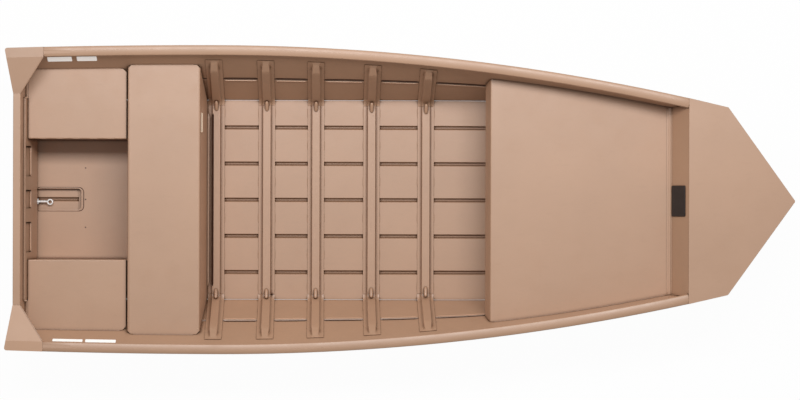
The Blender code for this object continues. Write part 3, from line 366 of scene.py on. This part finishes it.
def make_light():
    soft = bpy.data.lights.new("key", "AREA")
    soft.shape = "RECTANGLE"
    soft.size = BOX_LENGTH
    soft.size_y = BOX_WIDTH
    soft.energy = BOX_POWER
    lamp = bpy.data.objects.new("key", soft)
    lamp.location = BOX_PLACE
    lamp.rotation_euler = (BOX_AIM - BOX_PLACE).to_track_quat("-Z", "Y").to_euler()
    lamp.visible_camera = False
    bpy.context.scene.collection.objects.link(lamp)
    world = bpy.data.worlds.new("studio")
    world.use_nodes = True
    tree = world.node_tree
    sky = tree.nodes["Background"]
    sky.inputs["Strength"].default_value = SKY_STRENGTH
    sky.inputs["Color"].default_value = (1.0, 1.0, 1.0, 1.0)
    white = add(tree, "ShaderNodeBackground", Color=(1.0, 1.0, 1.0, 1.0), Strength=1.0)
    seen = tree.nodes.new("ShaderNodeLightPath")
    blend = tree.nodes.new("ShaderNodeMixShader")
    tree.links.new(seen.outputs["Is Camera Ray"], blend.inputs[0])
    tree.links.new(sky.outputs[0], blend.inputs[1])
    tree.links.new(white.outputs[0], blend.inputs[2])
    tree.links.new(blend.outputs[0], tree.nodes["World Output"].inputs["Surface"])
    bpy.context.scene.world = world


# Places on the CAD's surfaces


def spread(start, end, count):
    return [start + (end - start) * k / (count - 1) for k in range(count)]


def tree_of(node):
    bm = bmesh.new()
    bm.from_mesh(NODES[node].data)
    made = BVHTree.FromBMesh(bm)
    bm.free()
    return made


SIDES = {side: tree_of(f"hull_side_{tag}") for side, tag in BOTH_SIDES}
GUNWALES = {side: tree_of(f"gunwale_{tag}") for side, tag in BOTH_SIDES}
BOXES = {side: tree_of(f"stern_box_top_{tag}") for side, tag in BOTH_SIDES}
BOTTOM = tree_of("hull_bottom")
WELL = tree_of("well_floor")


def hit(tree, start, toward):
    """Where a line from a point first meets a node's mesh, with the surface's normal there."""
    where, normal, _, _ = tree.ray_cast(Vector(start), Vector(toward).normalized())
    if normal is not None and normal.dot(Vector(toward)) > 0:
        normal = -normal
    return where, normal


def across(side, x, z, inset=0.0):
    """A point on a hull side's inner face at a station and height, moved inboard a little."""
    where, normal = hit(SIDES[side], (x, 0.0, z), (0.0, side, 0.0))
    return where + normal * inset


def below(tree, x, y, lift=0.0):
    """A point on a node's upper face, raised a little."""
    where, _ = hit(tree, (x, y, 1.0), (0.0, 0.0, -1.0))
    return where + Vector((0.0, 0.0, lift))


# Shapes

CORD_SIDES = 6
CORD_TIP = 0.35
FINE_PITCH = 0.004
LONG_PITCH = 0.012
WELD_RIPPLE = 0.22


def piece(name, bm, material, smooth=40.0):
    """A mesh that rides on the hull, sharp where it folds by more than an angle in degrees."""
    mesh = bpy.data.meshes.new(name)
    bmesh.ops.recalc_face_normals(bm, faces=bm.faces)
    bm.to_mesh(mesh)
    bm.free()
    obj = bpy.data.objects.new(name, mesh)
    bpy.context.scene.collection.objects.link(obj)
    mesh.materials.append(material)
    mesh.shade_smooth()
    mesh.set_sharp_from_angle(angle=math.radians(smooth))
    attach(obj, "root")
    return obj


def skin(bm, outlines, closed=False):
    """Faces from each outline to the next, with the two ends filled unless they meet."""
    rings = [[bm.verts.new(spot) for spot in outline] for outline in outlines]
    pairs = list(zip(rings, rings[1:]))
    if closed:
        pairs.append((rings[-1], rings[0]))
    for low, high in pairs:
        count = len(low)
        for n in range(count):
            bm.faces.new((low[n], low[(n + 1) % count], high[(n + 1) % count], high[n]))
    if not closed:
        bm.faces.new(rings[0])
        bm.faces.new(rings[-1])


def cord(bm, points, width, height, up=(0.0, 0.0, 1.0), ripple=0.0, pitch=0.0032, closed=False):
    """A rounded bead along a path, flattened along its up direction, with ripples for a weld."""
    path = [Vector(point) for point in points]
    if closed:
        path.append(path[0])
    run = [0.0]
    for a, b in zip(path, path[1:]):
        run.append(run[-1] + (b - a).length)
    count = max(2, round(run[-1] / pitch))
    outlines = []
    spot = 0
    for k in range(count + (0 if closed else 1)):
        want = run[-1] * k / count
        while spot < len(path) - 2 and run[spot + 1] < want:
            spot += 1
        share = (want - run[spot]) / max(1e-9, run[spot + 1] - run[spot])
        here = path[spot].lerp(path[spot + 1], share)
        along = (path[spot + 1] - path[spot]).normalized()
        aside = along.cross(Vector(up)).normalized()
        rise = aside.cross(along)
        size = 1.0 - ripple * (k % 2)
        if not closed and k in (0, count):
            size *= CORD_TIP
        outline = []
        for turn in range(CORD_SIDES):
            angle = math.tau * (turn + 0.5) / CORD_SIDES
            away = aside * math.cos(angle) * width / 2 + rise * math.sin(angle) * height / 2
            outline.append(here + away * size)
        outlines.append(outline)
    skin(bm, outlines, closed)


def weld(bm, points, width=0.0055, height=0.0040, up=(0.0, 0.0, 1.0)):
    cord(bm, points, width, height, up, ripple=WELD_RIPPLE)


def dome(bm, centre, normal, radius, height, steps=16):
    """A low round head standing on a surface."""
    normal = Vector(normal).normalized()
    aside = normal.orthogonal().normalized()
    other = normal.cross(aside)
    outlines = []
    for share, rise in ((1.0, -0.15), (1.0, 0.35), (0.85, 0.72), (0.55, 0.94)):
        outline = []
        for k in range(steps):
            angle = math.tau * k / steps
            away = (aside * math.cos(angle) + other * math.sin(angle)) * radius * share
            outline.append(Vector(centre) + away + normal * height * rise)
        outlines.append(outline)
    skin(bm, outlines)


def rounded_box(half_u, half_v, radius, steps=4):
    points = []
    for su, sv, start in ((1, 1, 0.0), (-1, 1, 0.25), (-1, -1, 0.5), (1, -1, 0.75)):
        for k in range(steps + 1):
            angle = math.tau * (start + 0.25 * k / steps)
            u = su * (half_u - radius) + radius * math.cos(angle)
            v = sv * (half_v - radius) + radius * math.sin(angle)
            points.append((u, v))
    return points


# Plates

# Blank plates under the gunwales: side, aft end, forward end, lower and upper height
PLATES = {
    "blank_plate_port_aft": (1, -2.061, -1.918, 0.4250, 0.4700),
    "blank_plate_port_fore": (1, -1.889, -1.772, 0.4260, 0.4700),
    "blank_plate_starboard_aft": (-1, -2.026, -1.850, 0.4450, 0.4700),
    "blank_plate_starboard_fore": (-1, -1.834, -1.655, 0.4430, 0.4720),
}
PLATE_CORNER = 0.004
PLATE_BACK = 0.0002
PLATE_FRONT = 0.0010


def make_plates():
    for name, (side, aft, fore, low, high) in PLATES.items():
        outline = [
            ((aft + fore) / 2 + u, (low + high) / 2 + v)
            for u, v in rounded_box((fore - aft) / 2, (high - low) / 2, PLATE_CORNER)
        ]
        bm = bmesh.new()
        skin(bm, [[across(side, x, z, inset) for x, z in outline] for inset in (PLATE_BACK, PLATE_FRONT)])
        piece(name, bm, WHITE, smooth=30.0)


# Ribs

DART_WALL_Z = 0.150
DART_FLOOR_Y = 0.50
DART_INBOARD = 0.047
DART_OUTBOARD = 0.014
DART_RISE = 0.026
DART_HALF_WIDTH = 0.0105
DART_HALF_HEIGHT = 0.0100


def make_rib_darts():
    """The pressed darts that stiffen each rib at its bend over the chine."""
    for number, x in enumerate(RIB_XS, 1):
        for side, tag in BOTH_SIDES:
            floor_at = below(tree_of(f"floor_rib_{number}"), x, side * DART_FLOOR_Y)
            wall_at, _ = hit(tree_of(f"side_rib_{tag}_{number}"), (x, 0.0, DART_WALL_Z), (0.0, side, 0.0))
            bend_y = wall_at.y - side * (wall_at.z - floor_at.z) * SIDE_LEAN
            low = Vector((x, bend_y - side * DART_INBOARD, floor_at.z))
            high = Vector((x, bend_y + side * DART_OUTBOARD, floor_at.z + DART_RISE))
            middle = (low + high) / 2
            length = high - low
            inward = Vector((0.0, -side * abs(length.z), abs(length.y))).normalized()
            bm = bmesh.new()
            bmesh.ops.create_uvsphere(bm, u_segments=24, v_segments=12, radius=1.0)
            for vert in bm.verts:
                a, b, c = vert.co
                blunt = math.sqrt(1.0 + min(c * c, 1.0))
                wide = Vector((a * blunt * DART_HALF_WIDTH, 0.0, 0.0))
                vert.co = middle + wide + inward * (b * blunt * DART_HALF_HEIGHT) + length * (c / 2)
            piece(f"rib_dart_{tag}_{number}", bm, PAINT)


NOSE_LENGTH = 0.066
NOSE_CUTS = 9
NOSE_BASE = 0.0062
NOSE_TAPER = 0.36
NOSE_FOLD = 16.0


def make_nosed_ribs():
    """Side ribs whose crowns narrow and run out to the hull side at their tops."""
    for number, x in enumerate(RIB_XS, 1):
        for side, tag in BOTH_SIDES:
            node = f"side_rib_{tag}_{number}"
            bm = bmesh.new()
            bm.from_mesh(NODES[node].data)
            bmesh.ops.remove_doubles(bm, verts=bm.verts, dist=MERGE)
            foot = max(vert.co.z for vert in bm.verts) - NOSE_LENGTH
            for cut in range(NOSE_CUTS):
                bmesh.ops.bisect_plane(
                    bm,
                    geom=bm.verts[:] + bm.edges[:] + bm.faces[:],
                    dist=0.00001,
                    plane_co=(0.0, 0.0, foot + NOSE_LENGTH * cut / NOSE_CUTS),
                    plane_no=(0.0, 0.0, 1.0),
                )
            for vert in bm.verts:
                share = (vert.co.z - foot) / NOSE_LENGTH
                if share <= 0.0:
                    continue
                wall = across(side, vert.co.x, vert.co.z)
                rise = side * (wall.y - vert.co.y)
                if rise < NOSE_BASE:
                    continue
                vert.co.y = wall.y - side * (NOSE_BASE + (rise - NOSE_BASE) * (1.0 - share))
                vert.co.x = x + (vert.co.x - x) * (1.0 - NOSE_TAPER * share)
            made = piece(f"rib_{tag}_{number}_nosed", bm, PAINT, NOSE_FOLD)
            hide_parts(node)


# Weld beads

# Seams along the hull's sides: aft end, forward end and number of points
BENCH_SEAM = (-1.560, -1.205, 12)
BOX_SEAM = (-2.150, -1.640, 14)
DECK_SEAM = (0.570, 1.575, 30)
SEAM_LIFT = 0.0005
SEAM_INSET = 0.0012
BOX_STITCHES = (-2.10, -1.70, 5)
RISER_SEAM = ((1.612, 0.400), (1.630, 0.430), (1.648, 0.460), (1.664, 0.490), (1.678, 0.520))
FLOOR_STITCHES = (-0.525, -0.33, -0.11, 0.11, 0.33, 0.525)
SIDE_STITCHES = (0.125, 0.31, 0.39)
STITCH_LIFT = 0.0008
BOX_STITCH = (-0.02, 0.0, 0.02)
FLOOR_STITCH = (-0.025, 0.0, 0.025)
SIDE_STITCH = (-0.018, 0.0, 0.018)


def side_seam(bm, side, z, seam):
    weld(bm, [across(side, x, z + SEAM_LIFT, SEAM_INSET) for x in spread(*seam)])


def make_stern_welds():
    bm = bmesh.new()
    for side in (1, -1):
        side_seam(bm, side, BENCH_Z, BENCH_SEAM)
        side_seam(bm, side, BOX_Z, BOX_SEAM)
        for x in spread(*BOX_STITCHES):
            spots = [below(BOXES[side], x + d, side * BOX_PANEL_Y) for d in BOX_STITCH]
            weld(bm, spots, 0.004, 0.003)
    piece("welds_stern", bm, WELD_PAINT)


def make_bow_welds():
    bm = bmesh.new()
    for side in (1, -1):
        side_seam(bm, side, DECK_Z, DECK_SEAM)
        weld(bm, [across(side, x - 0.003, z, 0.0015) for x, z in RISER_SEAM], up=(-1.0, 0.0, 0.0))
    piece("welds_bow", bm, WELD_PAINT)


# Cross section of the cove where the front deck meets the riser, as X and Z
RISER_COVE = ((1.5969, 0.3842), (1.5985, 0.3860), (1.6100, 0.3972), (1.6145, 0.3975), (1.6145, 0.3842))
RISER_REACH = 0.552
RIDGE_X = 1.5890
RIDGE_Z = 0.3848


def make_riser_fillet():
    """The cove along the riser's foot, and the raised line in the deck before it."""
    bm = bmesh.new()
    skin(bm, [[(x, y, z) for x, z in RISER_COVE] for y in (-RISER_REACH, RISER_REACH)])
    ridge = ((RIDGE_X, -RISER_REACH, RIDGE_Z), (RIDGE_X, RISER_REACH, RIDGE_Z))
    cord(bm, ridge, 0.0130, 0.0080, pitch=0.02)
    piece("riser_fillet", bm, PAINT)


def make_rib_welds():
    """Short stitches along the ribs' flanges."""
    bm = bmesh.new()
    for x in RIB_XS:
        for edge in (x - RIB_EDGE, x + RIB_EDGE):
            for y in FLOOR_STITCHES:
                spots = [below(BOTTOM, edge, y + d, STITCH_LIFT) for d in FLOOR_STITCH]
                weld(bm, spots, 0.005, 0.004)
            for side in (1, -1):
                for z in SIDE_STITCHES:
                    spots = [across(side, edge, z + d, STITCH_LIFT) for d in SIDE_STITCH]
                    weld(bm, spots, 0.005, 0.004, (0.0, -side, 0.0))
    piece("welds_ribs", bm, WELD_PAINT)


# Beads across the gunwales' ends: inner and outer Y on the port side, and number of points
GUNWALE_AFT_SEAM = (0.8345, 0.8885, 9)
GUNWALE_FORE_SEAM = (CAP_REACH - 0.055, CAP_REACH - 0.001, 9)
GUNWALE_FORE_DROP = 0.0014

# The transom's cap at its ends: aft fold, forward fold and top
TRANSOM_CAP_XS = (-2.2555, -2.2125)
TRANSOM_CAP_Z = 0.4880


def make_trim_welds():
    """Beads across the gunwales' aft and forward ends and along the ends of the transom's cap."""
    bm = bmesh.new()
    for side in (1, -1):
        gunwale = GUNWALES[side]
        aft = [below(gunwale, GUNWALE_AFT + 0.0008, side * y) for y in spread(*GUNWALE_AFT_SEAM)]
        weld(bm, aft, 0.004, 0.0028)
        ys = [side * y for y in spread(*GUNWALE_FORE_SEAM)]
        fore = [below(gunwale, CAP_AFT - 0.0012, y, -GUNWALE_FORE_DROP) for y in ys]
        weld(bm, fore, 0.004, 0.0028)
        cap = [(x, side * TRANSOM_CAP_REACH, TRANSOM_CAP_Z) for x in TRANSOM_CAP_XS]
        weld(bm, cap, 0.004, 0.0024)
    piece("welds_trim", bm, WELD_PAINT)


# Fasteners

SCREW_X = -1.875
SCREW_YS = (0.189, -0.001, -0.169)
RIVET = (-1.137, 0.238)


def make_fasteners():
    bm = bmesh.new()
    for y in SCREW_YS:
        dome(bm, below(WELL, SCREW_X, y), (0, 0, 1), 0.0042, 0.0022)
    piece("well_floor_screws", bm, DARK)
    bm = bmesh.new()
    spot, facing = hit(SIDES[1], (RIVET[0], 0.0, RIVET[1]), (0.0, 1.0, 0.0))
    dome(bm, spot, facing, 0.0060, 0.0026)
    piece("side_rivet", bm, DARK)


# Stern trim

# Strips over the slot between a stern box and the transom: two ends on the port side, width, height
BOX_FILLERS = (
    ((-2.1932, 0.600, 0.3462), (-2.1932, 0.765, 0.3462), 0.0190, 0.0034),
    ((-2.1872, 0.365, 0.3430), (-2.1872, 0.590, 0.3430), 0.0060, 0.0034),
    ((-2.2050, 0.5990, 0.4020), (-2.1790, 0.5990, 0.4020), 0.0070, 0.0050),
)
GUSSET_EDGE = ((-2.2120, 0.6234, 0.4886), (-2.0795, 0.8288, 0.5176))

# A thin flat over each gunwale's crown beside its gusset, as corners on the port side
GUNWALE_END = (
    (-2.0766, 0.8490, 0.5168),
    (-2.0766, 0.8662, 0.5182),
    (-1.9180, 0.8699, 0.5182),
    (-1.9180, 0.8530, 0.5169),
)
GUNWALE_END_DEPTH = 0.0025


def mirrored(points, side, drop=0.0):
    return [(x, side * y, z - drop) for x, y, z in points]


def make_stern_trim():
    bm = bmesh.new()
    for side in (1, -1):
        for start, end, width, height in BOX_FILLERS:
            cord(bm, mirrored((start, end), side), width, height)
    piece("box_fillers", bm, WELD_PAINT)
    bm = bmesh.new()
    for side in (1, -1):
        cord(bm, mirrored(GUSSET_EDGE, side), 0.0044, 0.0030)
    piece("gusset_edges", bm, WELD_PAINT)
    bm = bmesh.new()
    for side in (1, -1):
        skin(bm, [mirrored(GUNWALE_END, side, GUNWALE_END_DEPTH), mirrored(GUNWALE_END, side)])
    piece("gunwale_ends", bm, PAINT)


# Lines along the pressed beads and the bench's foot

RIB_CLEAR = 0.0545
OVER_BEAD = 0.0105
UNDER_BEAD = 0.0130
FOOT_REACH = 0.520
FOOT_LINE_X = -1.1075
TOE_X = -1.1385
TOE_Z = 0.0290


def make_bead_lines():
    """A dark strip of painted shadow over each pressed bead and a pale lip under it painted lighter as a
    highlight, from rib to rib.
    """
    shadow_lines = bmesh.new()
    highlight_lips = bmesh.new()
    ends = (*RIB_XS, DECK_AFT)
    for aft, fore in zip(ends, ends[1:]):
        stations = spread(aft + RIB_CLEAR, fore - RIB_CLEAR, 8)
        bead = [(x, BEAD_Z + BEAD_RISE * max(0.0, x - BEAD_KNEE)) for x in stations]
        for side in (1, -1):
            up = (0.0, -side, 0.0)
            over = [across(side, x, z + OVER_BEAD, 0.0008) for x, z in bead]
            cord(shadow_lines, over, 0.0100, 0.0040, up, pitch=LONG_PITCH)
            under = [across(side, x, z - UNDER_BEAD) for x, z in bead]
            cord(highlight_lips, under, 0.0115, 0.0085, up, pitch=LONG_PITCH)
    rib = tree_of("floor_rib_1")
    # A strip of painted shadow in the crevice between the bench's foot and the first rib
    foot = [below(rib, FOOT_LINE_X, y, 0.0002) for y in spread(-FOOT_REACH, FOOT_REACH, 105)]
    cord(shadow_lines, foot, 0.0110, 0.0030, pitch=LONG_PITCH)
    piece("bead_painted_shadow", shadow_lines, SHADOW_BROWN)
    piece("bead_highlight_lips", highlight_lips, HIGHLIGHT_PAINT)


def make_bench_toe():
    bm = bmesh.new()
    toe = ((TOE_X, -FOOT_REACH, TOE_Z), (TOE_X, FOOT_REACH, TOE_Z))
    cord(bm, toe, 0.0210, 0.0130, pitch=0.02)
    piece("bench_toe", bm, PAINT)


# Sump, windows and drain

SUMP_HALF_WIDTH = 0.0675
SUMP_LINE_Y = 0.0708
SUMP_PORT_Y = 0.0696
SUMP_FORE = -1.906


def sump_outline(half_length, half_width, radius, past):
    """The sump's edge forward of a place, from the port side round to starboard."""
    corners = rounded_box(half_length, half_width, radius, 6)
    spots = [Vector((SUMP_X + u, v, WELL_Z)) for u, v in corners if u > past]
    return sorted(spots, key=lambda spot: math.atan2(-spot.y, spot.x - SUMP_AFT))


def make_sump_edges():
    """The sump's raised rim, and a dark strip of painted shadow outside it."""
    bm = bmesh.new()
    port_end = Vector((SUMP_AFT, SUMP_HALF_WIDTH, WELL_Z))
    starboard_end = Vector((SUMP_AFT, -SUMP_HALF_WIDTH, WELL_Z))
    rim = sump_outline(0.137, SUMP_HALF_WIDTH, 0.025, -0.125)
    cord(bm, [port_end, *rim, starboard_end], 0.007, 0.0034, pitch=FINE_PITCH)
    piece("sump_rim", bm, PAINT)
    bm = bmesh.new()
    outer = sump_outline(0.1490, SUMP_LINE_Y, 0.028, 0.0)
    cord(bm, [*outer, Vector((SUMP_AFT, -SUMP_LINE_Y, WELL_Z))], 0.0046, 0.0018, pitch=FINE_PITCH)
    port_line = ((SUMP_AFT, SUMP_PORT_Y, WELL_Z), (SUMP_FORE, SUMP_PORT_Y, WELL_Z))
    cord(bm, port_line, 0.0090, 0.0018, pitch=0.01)
    piece("sump_painted_shadow", bm, SHADOW_BROWN)


# The three windows in the transom's pan, from their starboard to their port edges
WINDOWS = ((-0.312, -0.138), (-0.052, 0.052), (0.138, 0.312))
LEDGE_X = -2.1868
LEDGE_Z = 0.2355
HEAD_X = -2.1995
HEAD_Z = 0.3740

# The port edge of each window: X and Z at its head and its foot, and how far inside the edge
WINDOW_EDGE = ((-2.2020, 0.3700), (-2.1880, 0.2500))
WINDOW_INSIDE = 0.003


def make_window_edges():
    """A ledge along each window's foot painted lighter as a highlight, and dark strips of painted shadow
    along its head and port edge.
    """
    bm = bmesh.new()
    for low, high in WINDOWS:
        cord(bm, ((LEDGE_X, low, LEDGE_Z), (LEDGE_X, high, LEDGE_Z)), 0.0140, 0.0060, pitch=0.01)
    piece("window_ledges", bm, HIGHLIGHT_PAINT)
    bm = bmesh.new()
    for low, high in WINDOWS:
        cord(bm, ((HEAD_X, low, HEAD_Z), (HEAD_X, high, HEAD_Z)), 0.0065, 0.0040, pitch=0.01)
        edge = [(x, high - WINDOW_INSIDE, z) for x, z in WINDOW_EDGE]
        cord(bm, edge, 0.0070, 0.0030, (0.0, -1.0, 0.0), pitch=0.01)
    piece("window_painted_shadow", bm, SHADOW_BROWN)


PLUG = Vector((-2.0900, -0.0165, 0.0420))
PLUG_RADIUS = 0.0145
PLUG_POINTS = 36


def make_plug_ring():
    ring = []
    for k in range(PLUG_POINTS):
        angle = math.tau * k / PLUG_POINTS
        ring.append(PLUG + Vector((math.cos(angle), math.sin(angle), 0.0)) * PLUG_RADIUS)
    bm = bmesh.new()
    cord(bm, ring, 0.0080, 0.0070, pitch=0.0022, closed=True)
    piece("plug_ring", bm, GLOWING_ZINC)


FOAM_CENTRE = (-1.183, 0.455, 0.315)
FOAM_SIZE = (0.018, 0.150, 0.060)
FOAM_EDGE = ((-1.1620, 0.397, 0.3160), (-1.1620, 0.515, 0.3160))


def make_bench_foam():
    """The foam seen through the slot in the bench's front panel."""
    bm = bmesh.new()
    bmesh.ops.create_cube(bm, size=1.0)
    for vert in bm.verts:
        vert.co = [centre + unit * size for centre, unit, size in zip(FOAM_CENTRE, vert.co, FOAM_SIZE)]
    cord(bm, FOAM_EDGE, 0.014, 0.012)
    piece("bench_foam", bm, FOAM)


make_camera()
make_stage()
make_light()
for node_name, node_object in NODES.items():
    dress(node_name, node_object)
make_plates()
make_rib_darts()
make_nosed_ribs()
make_stern_welds()
make_bow_welds()
make_riser_fillet()
make_rib_welds()
make_trim_welds()
make_fasteners()
make_stern_trim()
make_bead_lines()
make_bench_toe()
make_sump_edges()
make_window_edges()
make_plug_ring()
make_bench_foam()

bpy.context.scene.view_settings.view_transform = "Standard"
